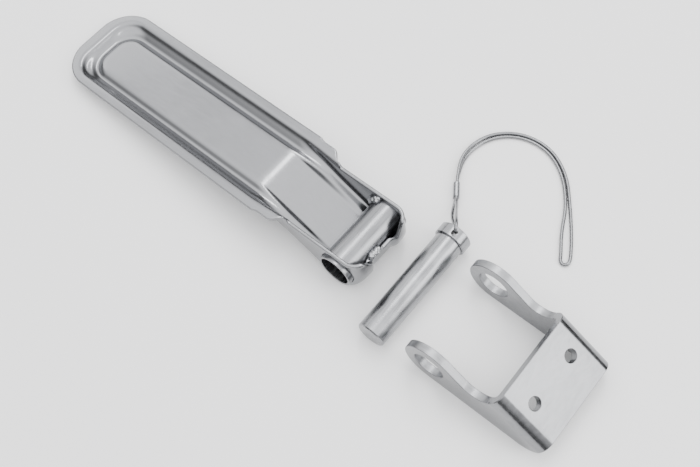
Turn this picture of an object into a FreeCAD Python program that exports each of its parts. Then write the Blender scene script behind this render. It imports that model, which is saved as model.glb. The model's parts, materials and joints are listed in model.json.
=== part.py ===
"""Removable-pin hinge for a truck or trailer dropside, laid out apart.

Frame: origin in the middle of the bracket's ear bore, +X from the strap's far end
towards the bracket, +Y along the ear bore, +Z up. Millimetres.
The bracket stands on its ears, and the strap and the pin lie on the same ground.
"""
import FreeCAD, Part
import math
import os

from FreeCAD import Placement, Rotation, Vector

# alias, value (mm or degrees), what it is
DIMENSIONS = [
    ("pin_dia", 20.0, "hinge pin bar"),
    ("pin_shank", 80.7, "shank length below the collar"),
    ("pin_chamfer", 0.8, "chamfer of the pin's foot"),
    ("collar_dia", 23.0, "collar head"),
    ("collar_len", 8.6, "collar height"),
    ("collar_edge", 0.6, "chamfer of the collar's outer end"),
    ("cord_hole_dia", 4.4, "angled hole for the lanyard"),
    ("cord_hole_place", 3.7, "mouth of that hole above the collar's inner face"),
    ("cord_hole_lean", 30.0, "lean of that hole towards the collar's end face"),
    ("ear_bore_dia", 21.6, "pin holes of the ears"),
    ("ear_gap", 62.0, "clear width between the ears"),
    ("plate_thick", 5.5, "bracket plate"),
    ("ear_tip_rad", 18.3, "round ear tip, and the bore's height above the ground"),
    ("neck_height", 23.0, "lowest point of the ear's concave edge above the ground"),
    ("neck_place", 31.0, "that point's distance from the bore"),
    ("plate_lean", 30.5, "slope of the mounting plate"),
    ("plate_len", 44.3, "mounting plate along its slope"),
    ("plate_top", 38.4, "upper edge of the mounting plate above the ground"),
    ("plate_place", 47.7, "upper edge of the mounting plate from the bore"),
    ("heel_rad", 15.0, "rounded heel of the ears"),
    ("bend_rad", 8.5, "outer bend radius of the bracket"),
    ("bolt_dia", 8.5, "bolt holes of the mounting plate"),
    ("bolt_pitch", 37.5, "spacing of the bolt holes"),
    ("bolt_edge", 19.2, "bolt holes from the plate's upper edge"),
    ("strap_sheet", 2.5, "strap sheet"),
    ("strap_width", 69.4, "strap over its rim"),
    ("strap_reach", 258.2, "tube axis to the strap's far end"),
    ("strap_corner", 25.0, "rounded far corners"),
    ("rim_height", 18.9, "top of the rim above the tube axis"),
    ("rim_end", 42.0, "near end of the rim from the tube axis"),
    ("rim_fall", 3.0, "length of the step from the rim down to the side walls' edge"),
    ("rim_step", 1.4, "narrower near end of the rim, on each side"),
    ("rim_chamfer", 9.0, "chamfered length at the rim's near end"),
    ("rim_narrow", 19.0, "length of the narrower near end"),
    ("rim_taper", 25.0, "place where the rim has its full width, from its near end"),
    ("rim_nick", 5.0, "rounding of the chamfer's corner"),
    ("rim_round", 12.0, "rounding of the taper's corners"),
    ("plateau_drop", 3.0, "plateau, and the side walls' edge, below the rim"),
    ("plateau_width", 32.0, "raised plateau and the floor that falls from it"),
    ("plateau_start", 20.3, "plateau from the far end"),
    ("plateau_corner", 8.0, "rounded far corners of the plateau"),
    ("moat_drop", 6.0, "moat floor below the rim"),
    ("moat_width", 51.0, "moat over its outer wall"),
    ("moat_start", 11.0, "moat from the far end"),
    ("crease_place", 73.9, "crease where the plateau starts to fall, from the tube axis"),
    ("ledge_place", 55.0, "place where the moat floor starts to fall"),
    ("trough_width", 54.0, "trough over its side walls"),
    ("wrap_rad", 20.5, "outside of the wrap under the tube and of the front corners"),
    ("wrap_height", 3.6, "middle of that round above the tube axis"),
    ("wrap_back", 1.2, "middle of that round behind the tube axis"),
    ("trough_corner", 12.0, "front corners of the trough in plan"),
    ("lip_rad", 15.9, "outside of the lip's middle stretch"),
    ("lip_back", 0.5, "middle of that round behind the tube axis"),
    ("lip_width", 20.0, "middle stretch of the front lip"),
    ("lip_height", 3.9, "top of that stretch above the tube axis"),
    ("lip_notch", 44.0, "width where the side walls' edge starts to fall to the lip"),
    ("lip_start", 9.0, "back of the falling edge from the tube axis"),
    ("tube_dia", 25.4, "knuckle tube"),
    ("tube_bore", 22.2, "knuckle tube bore"),
    ("tube_len", 56.4, "knuckle tube length"),
    ("tube_shift", 0.9, "middle of the tube off the strap's middle: its one end stands proud"),
    ("strap_x", -83.9, "tube axis in the layout"),
    ("strap_y", 5.8, "middle of the tube in the layout"),
    ("strap_yaw", -1.94, "heading of the strap"),
    ("strap_pitch", -6.30, "the strap's far end lies lower than its tube"),
    ("pin_x", -41.8, "pin foot in the layout"),
    ("pin_y", -41.0, "pin foot in the layout"),
    ("pin_yaw", -0.7, "heading of the pin off the bore direction"),
    ("pin_roll", 5.0, "cord hole off the top of the lying pin"),
    ("rope_dia", 2.4, "wire rope over its coating"),
    ("ferrule_len", 10.5, "crimp ferrule"),
    ("ferrule_width", 4.2, "crimp ferrule"),
    ("ferrule_round", 1.75, "rounded long edges of the ferrule"),
    ("ferrule_height", 6.2, "crimp ferrule over both strands, one above the other"),
]

doc = FreeCAD.newDocument("removable_pin_hinge")
sheet = doc.addObject("Spreadsheet::Sheet", "Dimensions")
for row, (alias, value, meaning) in enumerate(DIMENSIONS, start=1):
    sheet.set("A%d" % row, meaning)
    sheet.set("B%d" % row, str(value))
    sheet.setAlias("B%d" % row, alias)
doc.recompute()

OVERCUT = 5.0      # how far a cutting tool reaches past the surface it leaves
OVERLAP = 1.0      # how far two hollows run into each other
GROUND_PLAY = 0.02     # gap kept between a lying piece and the ground
KNEE_SHIFT = 0.5   # outer knee of the floor's crease behind the inner one
TRAY_RUN = 6.0     # how far the tray runs on into the trough
ARC_SHARE = 0.45   # share of a straight run that an arc of the lanyard may take

# round drops of each weld bead in the strap's frame: x, y, z, radius
LIP_DROPS = [(14.2, y, 4.6, 2.3) for y in (-8.5, -6.5, -4.5, -2.5, -0.5)]
WALL_DROPS = [(-8.0, 23.6, 10.8, 2.8), (-10.6, 23.4, 8.6, 2.6), (-12.4, 23.6, 6.0, 2.2)]


def size(alias):
    """Value of one cell of the sheet."""
    return float(sheet.get(alias))


def bind(obj, **expressions):
    """Tie properties of an object to cells of the sheet."""
    for name, expression in expressions.items():
        obj.setExpression(name, expression)


def origin_plane(body, role):
    """The body's own origin plane with this role."""
    return [p for p in body.Origin.OriginFeatures if p.Role == role][0]


def new_body(label):
    """Empty PartDesign body."""
    body = doc.addObject("PartDesign::Body", label)
    body.Label = label
    return body


def new_sketch(body, name, role, edges):
    """Sketch on one of the body's own origin planes, with its sizes fixed by its points."""
    sketch = body.newObject("Sketcher::SketchObject", name)
    sketch.AttachmentSupport = [(origin_plane(body, role), "")]
    sketch.MapMode = "FlatFace"
    for edge in edges:
        sketch.addGeometry(edge, False)
    return sketch


def ring_of_lines(points):
    """Closed polygon as sketch lines."""
    corners = [Vector(x, y, 0) for x, y in points]
    return [Part.LineSegment(a, b) for a, b in zip(corners, corners[1:] + corners[:1])]


def rounded_outline(points):
    """Closed outline; each point is (x, y, radius) and its corner is rounded."""
    count = len(points)
    trimmed = []
    for i, (x, y, radius) in enumerate(points):
        here = Vector(x, y, 0)
        before = (Vector(*points[i - 1][:2], 0) - here).normalize()
        after = (Vector(*points[(i + 1) % count][:2], 0) - here).normalize()
        if radius == 0:
            trimmed.append((here, None, here))
            continue
        half = before.getAngle(after) / 2
        reach = radius / math.tan(half)
        middle = here + (before + after).normalize() * (radius / math.sin(half) - radius)
        trimmed.append((here + before * reach, middle, here + after * reach))
    edges = []
    for i, (start, middle, end) in enumerate(trimmed):
        if middle is not None:
            edges.append(Part.Arc(start, middle, end))
        following = trimmed[(i + 1) % count][0]
        if end.distanceToPoint(following) > 1e-6:
            edges.append(Part.LineSegment(end, following))
    return edges


def pad(body, sketch, name, length, both_ways=False):
    """Pad a sketch; the length is an expression."""
    feature = body.newObject("PartDesign::Pad", name)
    feature.Profile = sketch
    feature.Midplane = both_ways
    bind(feature, Length=length)
    return feature


def pocket(body, sketch, name, length, both_ways=False):
    """Cut a sketch out of the body; the length is an expression."""
    feature = body.newObject("PartDesign::Pocket", name)
    feature.Profile = sketch
    feature.Midplane = both_ways
    bind(feature, Length=length)
    return feature


def raise_sketch(sketch, expression):
    """Lift a sketch along its plane's normal by an expression."""
    sketch.setExpression("AttachmentOffset.Base.z", expression)


def make_prism(label, role, edges, length, base=None):
    """Body with one pad: upright from a base height in plan, or to both sides of the middle."""
    body = new_body(label)
    sketch = new_sketch(body, label + "Outline", role, edges)
    if base is not None:
        raise_sketch(sketch, base)
    pad(body, sketch, label + "Pad", length, both_ways=base is None)
    return body


def join(kind, label, parts):
    """Part boolean of finished pieces: MultiFuse, MultiCommon, or Cut of the second from the first."""
    result = doc.addObject("Part::" + kind, label)
    if kind == "Cut":
        result.Base, result.Tool = parts
    else:
        result.Shapes = parts
    return result


# ---------------------------------------------------------------- hinge bracket

def bracket_corners():
    """Upper and lower edge of the web's top face in X and Z, and the directions along and off it."""
    lean = math.radians(size("plate_lean"))
    along = Vector(math.cos(lean), -math.sin(lean), 0)
    normal = Vector(math.sin(lean), math.cos(lean), 0)
    upper = Vector(size("plate_place"), size("plate_top") - size("ear_tip_rad"), 0)
    return upper, upper + along * size("plate_len"), along, normal


def bracket_side():
    """Side outline of the bracket in X and Z: tip, swan neck, plate, heel and ground edge."""
    tip = size("ear_tip_rad")
    upper, lower, along, normal = bracket_corners()
    # the concave neck touches the line of the web's upper end
    lean = math.radians(size("plate_lean"))
    run = (upper.x - size("neck_place")) * math.cos(lean)
    drop = (size("plate_top") - size("neck_height")) * math.sin(lean)
    neck_rad = (run - drop) / (1 - math.sin(lean))
    neck = Vector(size("neck_place"), size("neck_height") + neck_rad - tip, 0)
    # common inner tangent of the round tip and the neck
    turn = math.atan2(neck.y, neck.x) + math.acos((tip + neck_rad) / neck.Length)
    outward = Vector(math.cos(turn), math.sin(turn), 0)
    leave_tip, reach_neck = outward * tip, neck - outward * neck_rad
    leave_neck = neck + along * neck_rad
    # the heel is rounded between the ground edge and the web's lower end
    heel = lower - normal * ((lower.y + tip) / normal.y)
    heel_rad = size("heel_rad")
    half = normal.getAngle(Vector(-1, 0, 0)) / 2
    heel_reach = heel_rad / math.tan(half)
    heel_start = heel - Vector(heel_reach, 0, 0)
    heel_end = heel + normal * heel_reach
    inward = (normal + Vector(-1, 0, 0)).normalize()
    heel_middle = heel + inward * (heel_rad / math.sin(half) - heel_rad)
    return [
        Part.Arc(Vector(0, -tip, 0), Vector(-tip, 0, 0), leave_tip),
        Part.LineSegment(leave_tip, reach_neck),
        Part.Arc(reach_neck, neck - Vector(0, neck_rad, 0), leave_neck),
        Part.LineSegment(leave_neck, upper),
        Part.LineSegment(upper, lower),
        Part.LineSegment(lower, heel_end),
        Part.Arc(heel_end, heel_middle, heel_start),
        Part.LineSegment(heel_start, Vector(0, -tip, 0)),
    ]


def bend_section():
    """Cross-section to cut away along the web: the gap between the ears and the two outer bends."""
    half, inner = size("ear_gap") / 2 + size("plate_thick"), size("ear_gap") / 2
    thick, deep = size("plate_thick"), size("plate_top") + size("plate_place")
    radius = size("bend_rad")
    edges = rounded_outline([(-inner, -thick, radius - thick), (-inner, -deep, 0),
                             (inner, -deep, 0), (inner, -thick, radius - thick)])
    for side in (-1, 1):
        start, end = Vector(side * (half - radius), 0, 0), Vector(side * half, -radius, 0)
        centre = Vector(start.x, end.y, 0)
        middle = centre + Vector(side, 1, 0).normalize() * radius
        outside = [Vector(side * (half + OVERCUT), -radius, 0),
                   Vector(side * (half + OVERCUT), OVERCUT, 0), Vector(start.x, OVERCUT, 0)]
        ring = [end] + outside + [start]
        edges += [Part.Arc(start, middle, end)]
        edges += [Part.LineSegment(p, q) for p, q in zip(ring, ring[1:])]
    return edges


def make_bracket():
    """One bent plate: a sloping web with two bolt holes, and two ears with pin bores."""
    body = new_body("hinge_bracket")
    upper, lower, along, normal = bracket_corners()
    along, normal = Vector(along.x, 0, along.y), Vector(normal.x, 0, normal.y)
    upper, lower = Vector(upper.x, 0, upper.y), Vector(lower.x, 0, lower.y)
    side = new_sketch(body, "BracketSide", "XZ_Plane", bracket_side())
    pad(body, side, "BracketBlock", "Dimensions.ear_gap + 2 * Dimensions.plate_thick", both_ways=True)
    bends = new_sketch(body, "BendSection", "XY_Plane", bend_section())
    frame = Rotation(Vector(0, 1, 0), normal, along, "ZXY")
    bends.AttachmentOffset = Placement(lower + along * OVERCUT, frame)
    pocket(body, bends, "Bends", "Dimensions.plate_len + 2 * Dimensions.plate_place")
    bore = new_sketch(body, "BoreCircle", "XZ_Plane",
                      [Part.Circle(Vector(0, 0, 0), Vector(0, 0, 1), size("ear_bore_dia") / 2)])
    pocket(body, bore, "EarBore", "Dimensions.ear_gap + 4 * Dimensions.plate_thick", both_ways=True)
    half_pitch = size("bolt_pitch") / 2
    holes = new_sketch(body, "BoltCircles", "XY_Plane",
                       [Part.Circle(Vector(0, place, 0), Vector(0, 0, 1), size("bolt_dia") / 2)
                        for place in (-half_pitch, half_pitch)])
    centre = upper + along * size("bolt_edge") + normal * OVERCUT
    holes.AttachmentOffset = Placement(centre, Rotation(Vector(0, 1, 0), size("plate_lean")))
    pocket(body, holes, "BoltHoles", "Dimensions.plate_thick + %g" % (2 * OVERCUT))
    return body


# ---------------------------------------------------------------- hinge pin

def make_pin():
    """Plain shank with a collar head, turned along +Z, with an angled cord hole."""
    body = new_body("hinge_pin")
    radius, collar = size("pin_dia") / 2, size("collar_dia") / 2
    shank, top = size("pin_shank"), size("pin_shank") + size("collar_len")
    foot, edge = size("pin_chamfer"), size("collar_edge")
    half = [(0, 0), (radius - foot, 0), (radius, foot), (radius, shank), (collar - edge, shank),
            (collar, shank + edge), (collar, top - edge), (collar - edge, top), (0, top)]
    profile = new_sketch(body, "PinHalf", "XZ_Plane", ring_of_lines(half))
    turned = body.newObject("PartDesign::Revolution", "TurnedPin")
    turned.Profile = profile
    turned.ReferenceAxis = (profile, ["V_Axis"])
    turned.Angle = 360.0
    # the hole starts on the collar's side and leans over to leave through its end face
    hole = new_sketch(body, "CordHoleCircle", "XY_Plane",
                      [Part.Circle(Vector(0, 0, 0), Vector(0, 0, 1), size("cord_hole_dia") / 2)])
    turn = Rotation(Vector(1, 0, 0), 90 + size("cord_hole_lean"))
    mouth = Vector(0, -collar, shank + size("cord_hole_place"))
    hole.AttachmentOffset = Placement(mouth + turn.multVec(Vector(0, 0, OVERCUT)), turn)
    pocket(body, hole, "CordHole", "Dimensions.collar_dia")
    return body


def pin_layout():
    """The foot's rim and the collar's rim both rest on the ground."""
    length = size("pin_shank") + size("collar_edge")
    tilt = math.degrees(math.atan2((size("collar_dia") - size("pin_dia")) / 2, length))
    lying = Rotation(Vector(1, 0, 0), -90 + tilt)
    heading = Rotation(Vector(0, 0, 1), size("pin_yaw"))
    roll = Rotation(Vector(0, 0, 1), size("pin_roll"))
    foot = Vector(size("pin_x"), size("pin_y"), size("pin_dia") / 2 - size("ear_tip_rad") + GROUND_PLAY)
    return Placement(foot, heading.multiply(lying).multiply(roll))


# ---------------------------------------------------------------- strap

def rim_outline():
    """Plan of the rim: rounded far corners, a small step and a chamfer at the near end."""
    far, near, half = -size("strap_reach"), -size("rim_end"), size("strap_width") / 2
    corner, inner = size("strap_corner"), size("trough_width") / 2 - size("strap_sheet")
    narrow, nick, rounding = half - size("rim_step"), size("rim_nick"), size("rim_round")
    upper = [(near, inner, 0), (near - size("rim_chamfer"), narrow, nick),
             (near - size("rim_narrow"), narrow, rounding), (near - size("rim_taper"), half, rounding)]
    lower = [(x, -y, r) for x, y, r in reversed(upper)]
    return rounded_outline([(far, -half, corner)] + lower + upper + [(far, half, corner)])


def tray_outline(start, half, end, corner):
    """Tray outline in plan from its rounded far end to a square near end."""
    far = start - size("strap_reach")
    return rounded_outline([(far, -half, corner), (end, -half, 0), (end, half, 0), (far, half, corner)])


def front_outline(half, front, corner):
    """Plan of the trough: from behind the crease to its rounded front corners."""
    back = -size("crease_place") - size("plateau_start")
    return rounded_outline([(back, -half, 0), (front, -half, corner), (front, half, corner), (back, half, 0)])


def wrap_middle():
    """Centre of the round wrap under the tube, in X and Z."""
    return Vector(-size("wrap_back"), size("wrap_height"), 0)


def trough_side(knee, radius, top, back):
    """Side outline: level floor, falling floor, round wrap, upright front, open top."""
    middle = wrap_middle()
    arm = knee - middle
    turn = math.atan2(arm.y, arm.x) + math.acos(radius / arm.Length)
    touch = middle + Vector(math.cos(turn), math.sin(turn), 0) * radius
    lowest, front = middle - Vector(0, radius, 0), middle + Vector(radius, 0, 0)
    edges = [Part.LineSegment(Vector(back, top, 0), Vector(back, knee.y, 0)),
             Part.LineSegment(Vector(back, knee.y, 0), knee), Part.LineSegment(knee, touch)]
    between = (touch - middle) + (lowest - middle)
    edges.append(Part.Arc(touch, middle + between.normalize() * radius, lowest))
    edges.append(Part.Arc(lowest, middle + Vector(1, -1, 0).normalize() * radius, front))
    edges.append(Part.LineSegment(front, Vector(front.x, top, 0)))
    edges.append(Part.LineSegment(Vector(front.x, top, 0), Vector(back, top, 0)))
    return edges


def lip_arc(radius):
    """Round of the lip's middle stretch, from under the tube up to its edge."""
    back, top = size("lip_back"), size("lip_height")
    middle = Vector(-back, size("lip_rad") - size("wrap_rad") + size("wrap_height"), 0)
    low = middle + Vector(back, -math.sqrt(radius ** 2 - back ** 2), 0)
    high = Vector(middle.x + math.sqrt(radius ** 2 - (top - middle.y) ** 2), top, 0)
    between = ((low - middle) + (high - middle)).normalize() * radius
    return Part.Arc(low, middle + between, high), low, high


def wrap_arc(radius):
    """The same stretch of the wrap, from under the tube to its front."""
    middle = wrap_middle()
    low = middle + Vector(-middle.x, -math.sqrt(radius ** 2 - middle.x ** 2), 0)
    front = middle + Vector(radius, 0, 0)
    between = ((low - middle) + (front - middle)).normalize() * radius
    return Part.Arc(low, middle + between, front), low, front


def make_strap():
    """One pressing: rim, moat, plateau, and the trough that holds the tube."""
    thick, rim_top = size("strap_sheet"), size("rim_height")
    outer_rad, inner_rad = size("wrap_rad"), size("wrap_rad") - thick
    wall_top = rim_top - size("plateau_drop")
    high = rim_top + OVERCUT
    crease = Vector(-size("crease_place"), wall_top, 0)
    ledge = Vector(-size("ledge_place"), rim_top - size("moat_drop"), 0)
    under = crease + Vector(-KNEE_SHIFT, -thick, 0)
    tray_end = ledge.x + TRAY_RUN
    half_trough, corner = size("trough_width") / 2, size("trough_corner")
    moat_corner = size("strap_corner") - size("moat_start")
    front = outer_rad - size("wrap_back")

    # solid outside
    rim = make_prism("Rim", "XY_Plane", rim_outline(), "Dimensions.strap_sheet",
                     "Dimensions.rim_height - Dimensions.strap_sheet")
    tray = make_prism("Tray", "XY_Plane",
                      tray_outline(size("moat_start") - thick, size("moat_width") / 2 + thick,
                                   tray_end, moat_corner + thick),
                      "Dimensions.moat_drop + Dimensions.strap_sheet",
                      "Dimensions.rim_height - Dimensions.moat_drop - Dimensions.strap_sheet")
    side = make_prism("TroughSide", "XZ_Plane",
                      trough_side(under, outer_rad, rim_top, -size("crease_place") - thick),
                      "Dimensions.trough_width")
    plan = make_prism("TroughPlan", "XY_Plane", front_outline(half_trough, front, corner),
                      "2 * Dimensions.wrap_rad + Dimensions.rim_height", "-2 * Dimensions.wrap_rad")
    trough = join("MultiCommon", "Trough", [side, plan])
    outside = join("MultiFuse", "Outside", [rim, tray, trough])

    # hollows
    centre = make_prism("CentreHollow", "XZ_Plane",
                        trough_side(crease, inner_rad, high, size("plateau_start") - size("strap_reach")),
                        "Dimensions.plateau_width")
    sides = make_prism("SideHollow", "XZ_Plane", trough_side(ledge, inner_rad, high, ledge.x - OVERLAP),
                       "Dimensions.trough_width - 2 * Dimensions.strap_sheet")
    inner_plan = make_prism("HollowPlan", "XY_Plane",
                            front_outline(half_trough - thick, front - thick, corner - thick),
                            "4 * Dimensions.wrap_rad", "-2 * Dimensions.wrap_rad")
    long_centre = make_prism("PlateauHollow", "XY_Plane",
                             tray_outline(size("moat_start"), size("moat_width") / 2, tray_end, moat_corner),
                             "Dimensions.moat_drop", "Dimensions.rim_height - Dimensions.plateau_drop")
    moat = make_prism("MoatHollow", "XY_Plane",
                      tray_outline(size("moat_start"), size("moat_width") / 2, tray_end, moat_corner)
                      + tray_outline(size("plateau_start"), size("plateau_width") / 2,
                                     tray_end - OVERLAP, size("plateau_corner")),
                      "Dimensions.moat_drop", "Dimensions.rim_height - Dimensions.moat_drop")
    below = make_prism("Underside", "XY_Plane",
                       tray_outline(size("plateau_start") + thick, size("plateau_width") / 2 - thick,
                                    crease.x - thick, size("plateau_corner") - thick),
                       "Dimensions.moat_drop",
                       "Dimensions.rim_height - Dimensions.plateau_drop - Dimensions.strap_sheet"
                       " - Dimensions.moat_drop")
    sloping = join("MultiFuse", "SlopingHollow", [centre, sides])
    fitted = join("MultiCommon", "FittedHollow", [sloping, inner_plan])
    # the side walls' edge is lower than the rim, past the rim's end, and falls to the front lip
    wall_cut = make_prism("WallEdgeCut", "XZ_Plane", ring_of_lines(
        [(-size("rim_end"), high), (-size("rim_end") + size("rim_fall"), wall_top),
         (front + OVERCUT, wall_top), (front + OVERCUT, high)]), "2 * Dimensions.trough_width")
    hollows = join("MultiFuse", "Hollows", [fitted, long_centre, moat, below, wall_cut])
    shell = join("Cut", "Shell", [outside, hollows])

    # the lip's middle stretch is pressed in against the tube
    outer_arc, outer_low, outer_front = wrap_arc(outer_rad)
    inner_lip, inner_low, inner_high = lip_arc(size("lip_rad") - thick)
    step_top = Vector(outer_front.x, inner_high.y, 0)
    fill = make_prism("LipStep", "XZ_Plane",
                      [outer_arc, Part.LineSegment(outer_front, step_top),
                       Part.LineSegment(step_top, inner_high), inner_lip,
                       Part.LineSegment(inner_low, outer_low)],
                      "Dimensions.lip_width + 2 * Dimensions.strap_sheet")
    lip, lip_low, lip_high = lip_arc(size("lip_rad"))
    reach = front + OVERCUT
    corners = [lip_high, Vector(reach, lip_high.y, 0), Vector(reach, -2 * outer_rad, 0),
               Vector(lip_low.x, -2 * outer_rad, 0), lip_low]
    press = make_prism("LipPress", "XZ_Plane",
                       [lip] + [Part.LineSegment(a, b) for a, b in zip(corners, corners[1:])],
                       "Dimensions.lip_width")
    fall = new_body("LipFall")
    half_lip, half_notch = size("lip_width") / 2, size("lip_notch") / 2
    notch = new_sketch(fall, "LipNotch", "YZ_Plane", ring_of_lines(
        [(-half_lip, size("lip_height")), (half_lip, size("lip_height")), (half_notch, wall_top),
         (half_notch, high), (-half_notch, high), (-half_notch, wall_top)]))
    raise_sketch(notch, "Dimensions.lip_start")
    pad(fall, notch, "LipFallPad", "2 * Dimensions.wrap_rad")
    hole = doc.addObject("Part::Cylinder", "TubeSpace")
    bind(hole, Radius="Dimensions.tube_dia / 2", Height="2 * Dimensions.trough_width")
    hole.Placement = Placement(Vector(0, size("trough_width"), 0), Rotation(Vector(1, 0, 0), 90))
    stepped = join("MultiFuse", "SteppedShell", [shell, fill])
    tools = join("MultiFuse", "FrontTools", [press, fall, hole])
    return join("Cut", "strap_pressing", [stepped, tools])


def make_tube():
    """Knuckle tube along Y, through both side walls of the strap."""
    outer = doc.addObject("Part::Cylinder", "TubeOuter")
    bind(outer, Radius="Dimensions.tube_dia / 2", Height="Dimensions.tube_len")
    inner = doc.addObject("Part::Cylinder", "TubeInner")
    bind(inner, Radius="Dimensions.tube_bore / 2", Height="Dimensions.tube_len")
    for cylinder in (outer, inner):
        end = Vector(0, size("tube_len") / 2 - size("tube_shift"), 0)
        cylinder.Placement = Placement(end, Rotation(Vector(1, 0, 0), 90))
    return join("Cut", "knuckle_tube", [outer, inner])


def make_weld(label, drops, strap):
    """Weld bead: overlapping round drops, less the strap and the tube that they join."""
    balls = [Part.makeSphere(radius, Vector(x, y, z)) for x, y, z, radius in drops]
    bead = balls[0].multiFuse(balls[1:])
    space = Part.makeCylinder(size("tube_dia") / 2, 2 * size("trough_width"),
                              Vector(0, -size("trough_width"), 0), Vector(0, 1, 0))
    solid = bead.cut(strap.Shape).cut(space)
    weld = doc.addObject("Part::Feature", label)
    weld.Label = label
    weld.Shape = max(solid.Solids, key=lambda s: s.Volume)
    return weld


def strap_layout():
    """Placement of the strap and its tube: the wrap and the far end lie on the ground."""
    lying = Rotation(Vector(0, 1, 0), size("strap_pitch"))
    heading = Rotation(Vector(0, 0, 1), size("strap_yaw"))
    middle = lying.multVec(Vector(-size("wrap_back"), 0, size("wrap_height")))
    height = size("wrap_rad") - middle.z - size("ear_tip_rad") + GROUND_PLAY
    return Placement(Vector(size("strap_x"), size("strap_y"), height), heading.multiply(lying))


# ---------------------------------------------------------------- lanyard

# over the collar's rim, down to the ferrule, round the arc, round the narrow eye and all the way back
ROUTE = [
    (-40.0, 45.0, 1.6), (-40.0, 43.9, 5.9), (-40.8, 45.8, 7.9), (-43.0, 49.4, 7.2), (-46.8, 54.6, 2.8),
    (-50.4, 60.6, -3.8), (-54.0, 66.6, -9.8), (-57.2, 71.0, -13.6), (-67.3, 85.4, -13.8),
    (-75.9, 103.7, -14.7), (-71.3, 126.3, -16.5), (-54.2, 141.8, -17.0), (-31.4, 144.8, -17.0),
    (-10.8, 134.2, -17.0), (4.3, 115.7, -17.0), (16.8, 98.8, -17.0), (25.6, 84.8, -17.0),
    (27.0, 80.0, -17.0), (24.8, 77.4, -17.0), (21.6, 78.0, -17.0), (18.6, 83.5, -17.0),
    (10.6, 95.8, -17.0), (2.2, 114.2, -17.0), (-12.7, 132.3, -17.0),
    (-31.8, 142.1, -17.0), (-53.1, 139.3, -17.0), (-68.8, 124.8, -17.0), (-73.9, 103.9, -17.0),
    (-67.3, 85.4, -16.4), (-58.2, 72.4, -16.4), (-56.6, 67.8, -16.6), (-54.0, 62.4, -14.8),
    (-50.3, 57.0, -11.6), (-45.8, 53.2, -8.4), (-41.9, 51.2, -6.0), (-40.3, 48.5, -4.0),
]
FERRULE_RUN = (ROUTE[7], ROUTE[8])     # the straight run that the ferrule lies along
FERRULE_MIDDLE = Vector(-61.8, 77.4, -15.1)


def cord_path(points):
    """Straight runs joined by tangent arcs, as large as the shorter run beside each allows."""
    corners = [Vector(*point) for point in points]
    edges, radii, here = [], [], corners[0]
    for before, corner, after in zip(corners, corners[1:], corners[2:]):
        back, on = before - corner, after - corner
        reach = ARC_SHARE * min(back.Length, on.Length)
        half = back.getAngle(on) / 2
        radius = reach * math.tan(half)
        back.normalize()
        on.normalize()
        inward = (back + on).normalize()
        middle = corner + inward * (radius / math.sin(half) - radius)
        start, end = corner + back * reach, corner + on * reach
        edges += [Part.LineSegment(here, start).toShape(), Part.Arc(start, middle, end).toShape()]
        radii.append(radius)
        here = end
    edges.append(Part.LineSegment(here, corners[-1]).toShape())
    return Part.Wire(edges), radii


def make_rope():
    """Coated wire rope as one plain tube."""
    wire, radii = cord_path(ROUTE)
    first = Vector(*ROUTE[1]) - Vector(*ROUTE[0])
    circle = Part.Wire(Part.makeCircle(size("rope_dia") / 2, Vector(*ROUTE[0]), first))
    tube = wire.makePipeShell([circle], True, False)
    rope = doc.addObject("Part::Feature", "lanyard_rope")
    rope.Shape = Part.Solid(tube) if tube.ShapeType == "Shell" else tube.Solids[0]
    area = math.pi * size("rope_dia") ** 2 / 4
    print("rope: length %.1f, radii from %.1f: %s" % (wire.Length, min(radii),
                                                    " ".join("%.1f" % r for r in radii)))
    print("rope volume over section times length: %.4f" % (rope.Shape.Volume / area / wire.Length))
    return rope


def make_ferrule(rope):
    """Flattened crimp sleeve round both strands."""
    length, wide, tall = size("ferrule_len"), size("ferrule_width"), size("ferrule_height")
    start, end = FERRULE_RUN
    turn = Rotation(Vector(1, 0, 0), Vector(end[0] - start[0], end[1] - start[1], 0))
    sleeve = Part.makeBox(length, wide, tall, Vector(-length / 2, -wide / 2, -tall / 2))
    long_edges = [edge for edge in sleeve.Edges if abs(edge.tangentAt(0).x) > 0.99]
    sleeve = sleeve.makeFillet(size("ferrule_round"), long_edges)
    sleeve.Placement = Placement(FERRULE_MIDDLE, turn)
    ferrule = doc.addObject("Part::Feature", "crimp_ferrule")
    ferrule.Shape = max(sleeve.cut(rope.Shape).Solids, key=lambda s: s.Volume)
    return ferrule


bracket = make_bracket()
pin = make_pin()
strap = make_strap()
tube = make_tube()
doc.recompute()
lip_weld = make_weld("lip_weld", LIP_DROPS, strap)
wall_weld = make_weld("wall_weld", WALL_DROPS, strap)
rope = make_rope()
ferrule = make_ferrule(rope)
pin.Placement = pin_layout()
for piece in (strap, tube, lip_weld, wall_weld):
    piece.Placement = strap_layout().multiply(piece.Placement)
doc.recompute()

SUBPARTS = [bracket, pin, strap, tube, lip_weld, wall_weld, rope, ferrule]
for obj in doc.Objects:
    broken = [word for word in obj.State if word in ("Invalid", "Error")]
    if broken:
        raise RuntimeError("%s is %s" % (obj.Name, broken))
os.makedirs("parts", exist_ok=True)
for piece in SUBPARTS:
    shape = piece.Shape
    if shape.isNull() or not shape.isValid() or not shape.Solids:
        raise RuntimeError("%s has no valid solid" % piece.Label)
    box = shape.BoundBox
    print("%-16s %2d solid %9.1f mm3  X %.2f..%.2f  Y %.2f..%.2f  Z %.2f..%.2f" % (
        piece.Label, len(shape.Solids), shape.Volume, box.XMin, box.XMax, box.YMin, box.YMax,
        box.ZMin, box.ZMax))
    shape.exportStep("parts/%s.step" % piece.Label)
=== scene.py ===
"""Looks of a removable-pin hinge laid out apart on a pale floor. Metres, in the CAD's frame."""
import json
import math

import bmesh
import bpy
import numpy as np
from mathutils import Matrix, Vector


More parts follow.
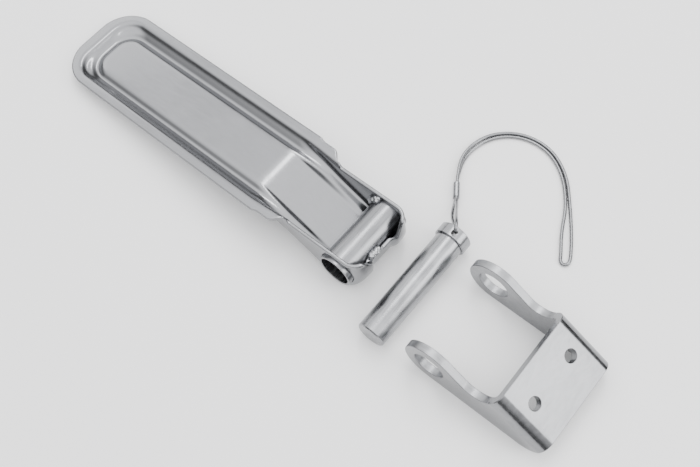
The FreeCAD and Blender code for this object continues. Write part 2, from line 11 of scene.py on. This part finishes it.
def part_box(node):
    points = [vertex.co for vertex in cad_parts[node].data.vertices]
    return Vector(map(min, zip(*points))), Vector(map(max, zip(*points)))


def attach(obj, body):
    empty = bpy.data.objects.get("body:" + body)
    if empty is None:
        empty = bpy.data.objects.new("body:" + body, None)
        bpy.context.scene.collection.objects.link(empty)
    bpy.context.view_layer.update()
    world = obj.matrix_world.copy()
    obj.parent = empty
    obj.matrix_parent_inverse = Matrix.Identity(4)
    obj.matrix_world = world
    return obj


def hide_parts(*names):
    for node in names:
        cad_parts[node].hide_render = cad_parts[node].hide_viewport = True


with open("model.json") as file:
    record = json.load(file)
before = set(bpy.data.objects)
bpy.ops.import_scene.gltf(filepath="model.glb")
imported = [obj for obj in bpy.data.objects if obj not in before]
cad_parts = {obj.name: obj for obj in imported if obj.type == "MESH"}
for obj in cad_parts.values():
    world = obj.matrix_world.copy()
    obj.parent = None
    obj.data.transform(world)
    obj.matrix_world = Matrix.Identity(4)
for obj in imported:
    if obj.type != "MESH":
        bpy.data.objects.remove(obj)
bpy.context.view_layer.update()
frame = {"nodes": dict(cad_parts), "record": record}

MM = 0.001
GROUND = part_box("hinge_bracket")[0][2]
SKY_STEPS = [(0.0, 0.03), (0.30, 0.06), (0.55, 0.35), (0.80, 0.72), (1.0, 0.80)]     # height, level
SKY_STRENGTH = 3.7
FLOOR_REACH = 30.0      # half the floor's side, so that low views don't see its edge

# the record's places that the looks are built round
MOUNTS = {mount["name"]: mount for mount in frame["record"]["mounts"]}


# ---------------------------------------------------------------- camera, floor and light

def make_camera():
    """Long lens, high above the pieces, looking along the ground's diagonal."""
    place = Vector((0.0925, -0.2056, 0.6069))
    right = Vector((0.77794, 0.62794, -0.02233))
    down = Vector((0.56341, -0.71286, -0.41761))
    ahead = Vector((-0.27815, 0.31230, -0.90835))
    turn = Matrix((right, -down, -ahead)).transposed()
    data = bpy.data.cameras.new("camera")
    data.sensor_width = 36.0
    data.lens = 53.25
    camera = bpy.data.objects.new("camera", data)
    camera.matrix_world = Matrix.Translation(place) @ turn.to_4x4()
    bpy.context.collection.objects.link(camera)
    bpy.context.scene.camera = camera


def area_light(name, place, target, size, power):
    """Rectangular softbox that looks at a point."""
    data = bpy.data.lights.new(name, "AREA")
    data.shape = "RECTANGLE"
    data.size, data.size_y = size
    data.energy = power
    light = bpy.data.objects.new(name, data)
    light.location = place
    light.rotation_euler = (Vector(target) - Vector(place)).to_track_quat("-Z", "Y").to_euler()
    bpy.context.collection.objects.link(light)


def make_stage():
    """Pale floor, the surround, and softboxes to the right, to the left and overhead."""
    mesh = bpy.data.meshes.new("floor")
    mesh.from_pydata([(-FLOOR_REACH, -FLOOR_REACH, GROUND), (FLOOR_REACH, -FLOOR_REACH, GROUND),
                      (FLOOR_REACH, FLOOR_REACH, GROUND), (-FLOOR_REACH, FLOOR_REACH, GROUND)],
                     [], [(0, 1, 2, 3)])
    floor = bpy.data.objects.new("floor", mesh)
    bpy.context.collection.objects.link(floor)
    material = bpy.data.materials.new("floor_white")
    material.use_nodes = True
    shader = material.node_tree.nodes["Principled BSDF"]
    shader.inputs["Base Color"].default_value = (0.95, 0.95, 0.95, 1)
    shader.inputs["Roughness"].default_value = 0.8
    mesh.materials.append(material)
    make_sky()
    area_light("plate_panel", (1.3, 0.55, 0.85), (0.05, 0, 0), (0.7, 0.9), 11)
    area_light("left_panel", (-1.45, 0.5, 0.6), (-0.04, 0, 0), (0.9, 0.8), 4)
    area_light("long_strip", (-0.55, 0.75, 1.5), (-0.1, 0, 0), (0.3, 1.4), 11)


def make_sky():
    """Studio surround: bright overhead, dark low down, so that bends show dark bands."""
    world = bpy.data.worlds.new("studio")
    world.use_nodes = True
    nodes, links = world.node_tree.nodes, world.node_tree.links
    way = nodes.new("ShaderNodeTexCoord")
    split = nodes.new("ShaderNodeSeparateXYZ")
    links.new(way.outputs["Generated"], split.inputs["Vector"])
    ramp = nodes.new("ShaderNodeValToRGB")
    elements = ramp.color_ramp.elements
    while len(elements) < len(SKY_STEPS):
        elements.new(0.5)
    for element, (place, level) in zip(elements, SKY_STEPS):
        element.position = place
        element.color = (level, level, level * 1.01, 1)
    links.new(split.outputs["Z"], ramp.inputs["Fac"])
    links.new(ramp.outputs["Color"], nodes["Background"].inputs["Color"])
    nodes["Background"].inputs["Strength"].default_value = SKY_STRENGTH
    bpy.context.scene.world = world


# ---------------------------------------------------------------- materials

NOISE_LOW, NOISE_HIGH = 0.3, 0.7       # range that most of a noise texture keeps to
BUMP_DISTANCE = 0.2 * MM
COOL_TINT = (0.97, 0.985, 1.02)        # zinc is a little bluer than grey


def noise(nodes, links, vector, scale, detail, distortion=0.0):
    """Noise texture on a vector; its factor."""
    texture = nodes.new("ShaderNodeTexNoise")
    texture.inputs["Scale"].default_value = scale
    texture.inputs["Detail"].default_value = detail
    texture.inputs["Distortion"].default_value = distortion
    links.new(vector, texture.inputs["Vector"])
    return texture.outputs["Fac"]


def mixed(nodes, links, a, b, share):
    """Mix of two values with a fixed share of the second."""
    mix = nodes.new("ShaderNodeMix")
    mix.inputs["Factor"].default_value = share
    links.new(a, mix.inputs[2])
    links.new(b, mix.inputs[3])
    return mix.outputs[0]


def mapped(nodes, links, value, low, high):
    """Noise value spread over a range."""
    span = nodes.new("ShaderNodeMapRange")
    span.inputs["From Min"].default_value = NOISE_LOW
    span.inputs["From Max"].default_value = NOISE_HIGH
    span.inputs["To Min"].default_value = low
    span.inputs["To Max"].default_value = high
    links.new(value, span.inputs["Value"])
    return span.outputs["Result"]


def zinc(name, tone, rough, grain=(60, 60, 60), depth=0.12, mottle=0.08, clouds=70, coat=0.0):
    """Zinc plating: fine grain drawn out along one way, cloudy tone and gloss, small dents."""
    material = bpy.data.materials.new(name)
    material.use_nodes = True
    nodes, links = material.node_tree.nodes, material.node_tree.links
    shader = nodes["Principled BSDF"]
    shader.inputs["Metallic"].default_value = 1.0
    shader.inputs["Coat Weight"].default_value = coat
    where = nodes.new("ShaderNodeTexCoord")
    stretch = nodes.new("ShaderNodeMapping")
    stretch.inputs["Scale"].default_value = grain
    links.new(where.outputs["Object"], stretch.inputs["Vector"])
    streaks = noise(nodes, links, stretch.outputs["Vector"], 10, 5, 0.4)
    cloudy = noise(nodes, links, where.outputs["Object"], clouds, 5)
    dents = noise(nodes, links, where.outputs["Object"], clouds * 9, 2)
    surface = mixed(nodes, links, streaks, cloudy, 0.45)
    shade = nodes.new("ShaderNodeValToRGB")
    for element, place, level in zip(shade.color_ramp.elements, (0.33, 0.67), (1 - mottle, 1 + mottle)):
        element.position = place
        element.color = [tone * level * share for share in COOL_TINT] + [1]
    links.new(surface, shade.inputs["Fac"])
    links.new(shade.outputs["Color"], shader.inputs["Base Color"])
    links.new(mapped(nodes, links, surface, rough * 0.7, rough * 1.35), shader.inputs["Roughness"])
    bump = nodes.new("ShaderNodeBump")
    bump.inputs["Strength"].default_value = depth
    bump.inputs["Distance"].default_value = BUMP_DISTANCE
    links.new(mixed(nodes, links, surface, dents, 0.25), bump.inputs["Height"])
    links.new(bump.outputs["Normal"], shader.inputs["Normal"])
    return material


def clad(obj, material):
    """One material over the whole object."""
    if not obj.material_slots:
        obj.data.materials.append(material)
    for place in obj.material_slots:
        place.material = material


# ---------------------------------------------------------------- lanyard

ROPE_DIAMETER = 2.4 * MM

# over the collar's rim, down to the ferrule, round the arc, round the narrow eye and all the way back
ROUTE = [
    (-40.0, 45.0, 1.6), (-40.0, 43.9, 5.9), (-40.8, 45.8, 7.9), (-43.0, 49.4, 7.2), (-46.8, 54.6, 2.8),
    (-50.4, 60.6, -3.8), (-54.0, 66.6, -9.8), (-57.2, 71.0, -13.6), (-67.3, 85.4, -13.8),
    (-75.9, 103.7, -14.7), (-71.3, 126.3, -16.5), (-54.2, 141.8, -17.0), (-31.4, 144.8, -17.0),
    (-10.8, 134.2, -17.0), (4.3, 115.7, -17.0), (16.8, 98.8, -17.0), (25.6, 84.8, -17.0),
    (27.0, 80.0, -17.0), (24.8, 77.4, -17.0), (21.6, 78.0, -17.0), (18.6, 83.5, -17.0),
    (10.6, 95.8, -17.0), (2.2, 114.2, -17.0), (-12.7, 132.3, -17.0),
    (-31.8, 142.1, -17.0), (-53.1, 139.3, -17.0), (-68.8, 124.8, -17.0), (-73.9, 103.9, -17.0),
    (-67.3, 85.4, -16.4), (-58.2, 72.4, -16.4), (-56.6, 67.8, -16.6), (-54.0, 62.4, -14.8),
    (-50.3, 57.0, -11.6), (-45.8, 53.2, -8.4), (-41.9, 51.2, -6.0), (-40.3, 48.5, -4.0),
]


def make_rope(material):
    """One smooth spline through both strands."""
    data = bpy.data.curves.new("lanyard", "CURVE")
    data.dimensions = "3D"
    spline = data.splines.new("NURBS")
    spline.points.add(len(ROUTE) - 1)
    for point, place in zip(spline.points, ROUTE):
        point.co = (place[0] * MM, place[1] * MM, place[2] * MM, 1)
    spline.order_u = 3
    spline.use_endpoint_u = True
    spline.resolution_u = 8
    data.bevel_depth = ROPE_DIAMETER / 2
    data.bevel_resolution = 4
    data.use_fill_caps = True
    data.materials.append(material)
    rope = bpy.data.objects.new("lanyard", data)
    bpy.context.collection.objects.link(rope)
    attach(rope, "pin")
    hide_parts("lanyard_rope")


# ---------------------------------------------------------------- strap as one smooth pressing

# inner faces of the bracket's ears, off the middle
EAR_INSIDE = 31.0 * MM

# the lanyard's hole: middle of its mouth, the way it leans in, and a reach that takes in its wall,
# which gets painted shade
CORD_HOLE_MOUTH = Vector((-39.8, 43.3, 4.8)) * MM
CORD_HOLE_WAY = Vector((-0.0755, 0.516, -0.854)).normalized()
CORD_HOLE_REACH = 2.3 * MM

# the strap's own frame: origin on the tube's axis, +X away from the strap's far end, +Z off its face
STRAP_Y = Vector(MOUNTS["knuckle_bore"]["axis"])
TUBE_SHIFT = 0.9 * MM       # the tube's middle lies this far off the strap's middle
STRAP_ORIGIN = Vector(MOUNTS["knuckle_bore"]["pos_m"]) + STRAP_Y * TUBE_SHIFT
STRAP_Z = Vector(MOUNTS["strap_face"]["axis"])
STRAP_X = STRAP_Y.cross(STRAP_Z)

# all in millimetres, as in the CAD
SHEET = 2.5
RIM_TOP = 18.9
REACH = 258.2
HALF_RIM = 34.7
RIM_END = -42.0
WALL_TOP = 15.9
TUBE_RADIUS = 12.7
CREASE = -73.9          # where the plateau starts to fall
WRAP_MIDDLE = (-1.2, 3.6)       # centre of the wrap's hollow in X and Z, and its radius
WRAP_RADIUS = 18.0
LIP_MIDDLE = (-0.5, -1.0)       # the same for the stretch of the lip pressed in against the tube
LIP_RADIUS = 13.3
STRAP_STEP, QUICK_STRAP_STEP, WELD_STEP = 0.6, 0.9, 0.25        # grid steps of the meshes
WELD_MARGIN = 0.8       # room left round a bead's drops in its grid


def soft_min(a, b, reach):
    """Union of two distances with a fillet."""
    mix = np.clip(0.5 + 0.5 * (b - a) / reach, 0, 1)
    return b * (1 - mix) + a * mix - reach * mix * (1 - mix)


def soft_max(a, b, reach):
    """Common part of two distances with a fillet."""
    return -soft_min(-a, -b, reach)


def ease(value, low, high):
    """0 below low, 1 above high, smooth between."""
    t = np.clip((value - low) / (high - low), 0, 1)
    return t * t * (3 - 2 * t)


def rounded_box(x, y, low, high, half, corner):
    """Signed distance to a rectangle in plan with rounded corners."""
    middle, reach = (low + high) / 2, (high - low) / 2
    dx = np.abs(x - middle) - reach + corner
    dy = np.abs(y) - half + corner
    outside = np.hypot(np.maximum(dx, 0), np.maximum(dy, 0))
    return outside + np.minimum(np.maximum(dx, dy), 0) - corner


def hollow(x, y, z):
    """Signed distance to the space above the sheet, negative inside that space."""
    side = np.abs(y)
    # shallow tray: a groove round a plateau
    in_plateau = rounded_box(x, y, 20.3 - REACH, 60, 16.0, 11)
    groove = 2.75 * np.exp(-((in_plateau - 4.6) / 3.1) ** 2)
    floor = RIM_TOP - 3.0 - groove
    # the middle falls from the crease to the wrap; the groove follows further down
    fall_middle = WALL_TOP - 0.432 * (x - CREASE)
    fall_side = RIM_TOP - 6.2 - 0.505 * (x + 58.0)
    to_side = ease(side, 14.5, 18.5)
    floor_fall = fall_middle * (1 - to_side) + fall_side * to_side
    floor = soft_min(floor, floor_fall, 2.2 + 4.8 * to_side)
    half_tray = 26.2 - 1.8 * ease(x, -75, -38)
    in_tray = np.maximum(rounded_box(x, y, 10.8 - REACH, 40, 26.2, 14), side - half_tray)
    tray = soft_max(in_tray, (floor - z) * 0.93, 3.0)
    tray = soft_max(tray, x + 8.0, 1.0)
    # wrap under the tube, pressed in at the middle of the front
    pressed = (1 - ease(side, 8.5, 13.0)) * ease(x, -2, 5)
    middle_x = WRAP_MIDDLE[0] * (1 - pressed) + LIP_MIDDLE[0] * pressed
    middle_z = WRAP_MIDDLE[1] * (1 - pressed) + LIP_MIDDLE[1] * pressed
    radius = WRAP_RADIUS * (1 - pressed) + LIP_RADIUS * pressed
    disc = np.hypot(x - middle_x, z - middle_z) - radius
    above = np.maximum(np.maximum(x - middle_x - radius, middle_z - z), -20 - x)
    wrap = np.minimum(disc, above)
    plan = rounded_box(x, y, -90, 16.8, 24.4, 10)
    opened = np.minimum(tray, soft_max(wrap, plan, 3.0))
    return soft_min(opened, RIM_TOP - z, 4.2)


def strap_distance(x, y, z):
    """Signed distance to the pressed sheet."""
    side = np.abs(y)
    space = hollow(x, y, z)
    sheet = np.maximum(-space, space - SHEET)
    # outline in plan: wide rim up to its end, then the trough's own footprint
    narrow = HALF_RIM - 1.4 * ease(x, -66, -60)
    rim = rounded_box(x, y, -REACH, 60, HALF_RIM, 25)
    rim = np.maximum(rim, side - narrow)
    chamfer = (side - 24.5 - (RIM_END - x) * 1.15) * 0.66
    rim = soft_max(rim, chamfer, 2.5)
    rim = soft_max(rim, x - RIM_END, 1.0)
    foot = rounded_box(x, y, -110, 19.4, 26.95, 12.4)
    outline = np.minimum(rim, foot)
    # top edges: rim, side walls, and their fall to the lip
    edge = WALL_TOP + 6 * (1 - ease(x, RIM_END - 1.5, RIM_END + 2.5))
    lip = 4.0 + 11.9 * ease(side, 9.5, 20.5)
    edge = edge * (1 - ease(x, 5.5, 12.5)) + lip * ease(x, 5.5, 12.5)
    top = z - edge
    body = soft_max(np.maximum(sheet, outline), top, 0.9)
    tube = TUBE_RADIUS + 0.05 - np.hypot(x, z)
    return soft_max(body, tube, 0.5)


def surface_nets(distance, origin, step):
    """Closed mesh of the zero level of a distance grid: one point in each crossed cell."""
    inside = distance < 0
    corners = [inside[i:inside.shape[0] - 1 + i, j:inside.shape[1] - 1 + j, k:inside.shape[2] - 1 + k]
               for i in (0, 1) for j in (0, 1) for k in (0, 1)]
    count = sum(c.astype(np.int8) for c in corners)
    crossed = (count > 0) & (count < 8)
    cells = np.argwhere(crossed)
    index = -np.ones(crossed.shape, np.int64)
    index[tuple(cells.T)] = np.arange(len(cells))
    total = np.zeros((len(cells), 3))
    weight = np.zeros(len(cells))
    for axis in range(3):
        others = [a for a in range(3) if a != axis]
        for p in (0, 1):
            for q in (0, 1):
                low = cells.copy()
                low[:, others[0]] += p
                low[:, others[1]] += q
                high = low.copy()
                high[:, axis] += 1
                a, b = distance[tuple(low.T)], distance[tuple(high.T)]
                cut = (a < 0) != (b < 0)
                part = np.where(cut, a / np.where(cut, a - b, 1), 0)
                place = (low - cells).astype(float)
                place[:, axis] += part
                total[cut] += place[cut]
                weight[cut] += 1
    points = origin + (cells + total / weight[:, None]) * step
    faces = []
    for axis in range(3):
        b, c = (axis + 1) % 3, (axis + 2) % 3
        low = [slice(None)] * 3
        high = [slice(None)] * 3
        low[axis], high[axis] = slice(0, -1), slice(1, None)
        first, second = inside[tuple(low)], inside[tuple(high)]
        edges = np.argwhere(first != second)
        edges = edges[(edges[:, b] > 0) & (edges[:, c] > 0)]
        rising = first[tuple(edges.T)]
        ring = []
        for p, q in ((-1, -1), (0, -1), (0, 0), (-1, 0)):
            cell = edges.copy()
            cell[:, b] += p
            cell[:, c] += q
            ring.append(index[tuple(cell.T)])
        quads = np.stack(ring, 1)
        quads[~rising] = quads[~rising][:, ::-1]
        faces.append(quads)
    return points, np.concatenate(faces)


def net_object(name, distance, low, high, step):
    """Mesh object of a distance function, smooth, placed in the strap's frame."""
    axes = [np.arange(a, b + step, step) for a, b in zip(low, high)]
    grid = np.meshgrid(*axes, indexing="ij")
    points, faces = surface_nets(distance(*grid), np.array(low), step)
    turn = np.array([STRAP_X, STRAP_Y, STRAP_Z])
    points = (points * MM) @ turn + np.array(STRAP_ORIGIN)
    mesh = bpy.data.meshes.new(name)
    mesh.from_pydata(points.tolist(), [], faces.tolist())
    mesh.validate()
    for face in mesh.polygons:
        face.use_smooth = True
    obj = bpy.data.objects.new(name, mesh)
    bpy.context.collection.objects.link(obj)
    return obj


# drops of each weld bead: place in the strap's frame and radius, in millimetres
LIP_DROPS = [(13.6, -9.6, 4.6, 1.5), (13.9, -8.0, 5.2, 2.3), (13.6, -5.8, 5.4, 2.6),
             (13.9, -3.4, 5.2, 2.5), (13.7, -1.4, 5.3, 2.1), (13.9, -13.2, 3.6, 0.9),
             (13.7, -11.6, 4.0, 1.1), (14.6, 0.6, 4.4, 1.3)]
WALL_DROPS = [(-8.0, 23.2, 11.2, 2.7), (-9.8, 22.0, 10.4, 2.3), (-11.2, 23.0, 8.8, 3.0),
              (-13.0, 23.0, 6.4, 2.3), (-6.4, 23.8, 12.6, 1.7), (-11.6, 21.0, 7.6, 1.5),
              (-7.2, 21.6, 12.0, 1.4), (-13.6, 23.8, 4.4, 1.3)]


def weld_distance(drops):
    """Signed distance function of a lumpy bead of melted drops that stays off the tube."""
    def distance(x, y, z):
        """Distance to the melted drops, rippled."""
        bead = np.full(x.shape, 9.0)
        for place_x, place_y, place_z, radius in drops:
            drop = np.sqrt((x - place_x) ** 2 + (y - place_y) ** 2 + (z - place_z) ** 2) - radius
            bead = soft_min(bead, drop, 0.9)
        ripple = 0.2 * np.sin(2.1 * y + 1.3 * z) * np.sin(1.7 * x - 1.9 * z)
        return soft_max(bead + ripple, TUBE_RADIUS - np.hypot(x, z), 0.3)
    return distance


def make_weld(name, node, drops, material):
    """Lumpy weld bead in place of the CAD's plain one."""
    spots = np.array(drops)
    low = (spots[:, :3] - spots[:, 3:]).min(axis=0) - WELD_MARGIN
    high = (spots[:, :3] + spots[:, 3:]).max(axis=0) + WELD_MARGIN
    weld = net_object(name, weld_distance(drops), low, high, WELD_STEP)
    weld.data.materials.append(material)
    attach(weld, "strap")
    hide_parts(node)


def make_strap(material):
    """The pressed strap, smooth at every bend."""
    step = STRAP_STEP
    strap = net_object("strap", strap_distance, (-REACH - 1.3, -36.1, -19.3), (21.5, 36.1, 20.7), step)
    strap.data.materials.append(material)
    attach(strap, "strap")
    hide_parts("strap_pressing")


# ---------------------------------------------------------------- CAD pieces with broken edges

def eased_copy(node, name, body, material, width, angle=30):
    """Copy of a CAD node's mesh with its sharp edges rounded off."""
    source = frame["nodes"][node]
    mesh = source.data.copy()
    mesh.name = name
    piece = bpy.data.objects.new(name, mesh)
    bpy.context.collection.objects.link(piece)
    cleaner = bmesh.new()
    cleaner.from_mesh(mesh)
    bmesh.ops.remove_doubles(cleaner, verts=cleaner.verts, dist=1e-6)
    bmesh.ops.dissolve_limit(cleaner, angle_limit=math.radians(0.5), verts=cleaner.verts,
                             edges=cleaner.edges)
    cleaner.to_mesh(mesh)
    cleaner.free()
    mesh.materials.clear()
    mesh.materials.append(material)
    bevel = piece.modifiers.new("eased", "BEVEL")
    bevel.width = width
    bevel.segments = 3
    bevel.limit_method = "ANGLE"
    bevel.angle_limit = math.radians(angle)
    for face in mesh.polygons:
        face.use_smooth = True
    mesh.set_sharp_from_angle(angle=math.radians(angle))
    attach(piece, body)
    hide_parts(node)
    return piece


def roughen_sheared_edges(bracket, material):
    """Sheared outline and pin bores of the two ears."""
    bracket.data.materials.append(material)
    for face in bracket.data.polygons:
        if abs(face.normal.y) < 0.1 and abs(face.center.y) > EAR_INSIDE:
            face.material_index = 1


def paint_cord_hole_shade(pin, material):
    """Painted shade: the wall of the lanyard's hole through the collar gets a near-black material."""
    pin.data.materials.append(material)
    for face in pin.data.polygons:
        offset = face.center - CORD_HOLE_MOUTH
        near = (offset - CORD_HOLE_WAY * offset.dot(CORD_HOLE_WAY)).length < CORD_HOLE_REACH
        if near and abs(face.normal.dot(CORD_HOLE_WAY)) < 0.2:
            face.material_index = 1


make_camera()
make_stage()
sheet_zinc = zinc("zinc_sheet", 0.275, 0.2, grain=(8, 60, 60), mottle=0.035, depth=0.03, clouds=30)
tube_zinc = zinc("zinc_tube", 0.25, 0.27, grain=(60, 3, 60), mottle=0.14, depth=0.06)
plate_zinc = zinc("zinc_plate", 0.24, 0.2, grain=(30, 12, 30), mottle=0.16, depth=0.16, clouds=28)
bar_zinc = zinc("zinc_bar", 0.30, 0.27, grain=(60, 2.5, 60), mottle=0.3, depth=0.15)
weld_zinc = zinc("zinc_weld", 0.40, 0.2, depth=0.12, mottle=0.15)
crimp_metal = zinc("crimp_metal", 0.26, 0.25, grain=(30, 30, 30))
rope_coat = zinc("rope_coat", 0.22, 0.25, coat=0.6, mottle=0.1, clouds=150)
sheared_zinc = zinc("zinc_sheared", 0.33, 0.36, grain=(8, 110, 8), mottle=0.2, depth=0.5, clouds=160)
# painted shade: near-black, rough zinc for the inside wall of the lanyard's hole
cord_hole_painted_shade = zinc("cord_hole_painted_shade", 0.03, 0.5)

ferrule = frame["nodes"]["crimp_ferrule"]
clad(ferrule, crimp_metal)
make_rope(rope_coat)
plate = eased_copy("hinge_bracket", "bracket_plate", "bracket", plate_zinc, 0.4 * MM)
roughen_sheared_edges(plate, sheared_zinc)
# pin bar, with painted shade on the wall of its cord hole
paint_cord_hole_shade(eased_copy("hinge_pin", "pin_bar", "pin", bar_zinc, 0.25 * MM), cord_hole_painted_shade)
eased_copy("knuckle_tube", "tube", "strap", tube_zinc, 0.2 * MM)
make_strap(sheet_zinc)
make_weld("weld_at_lip", "lip_weld", LIP_DROPS, weld_zinc)
make_weld("weld_at_wall", "wall_weld", WALL_DROPS, weld_zinc)

bpy.context.view_layer.update()
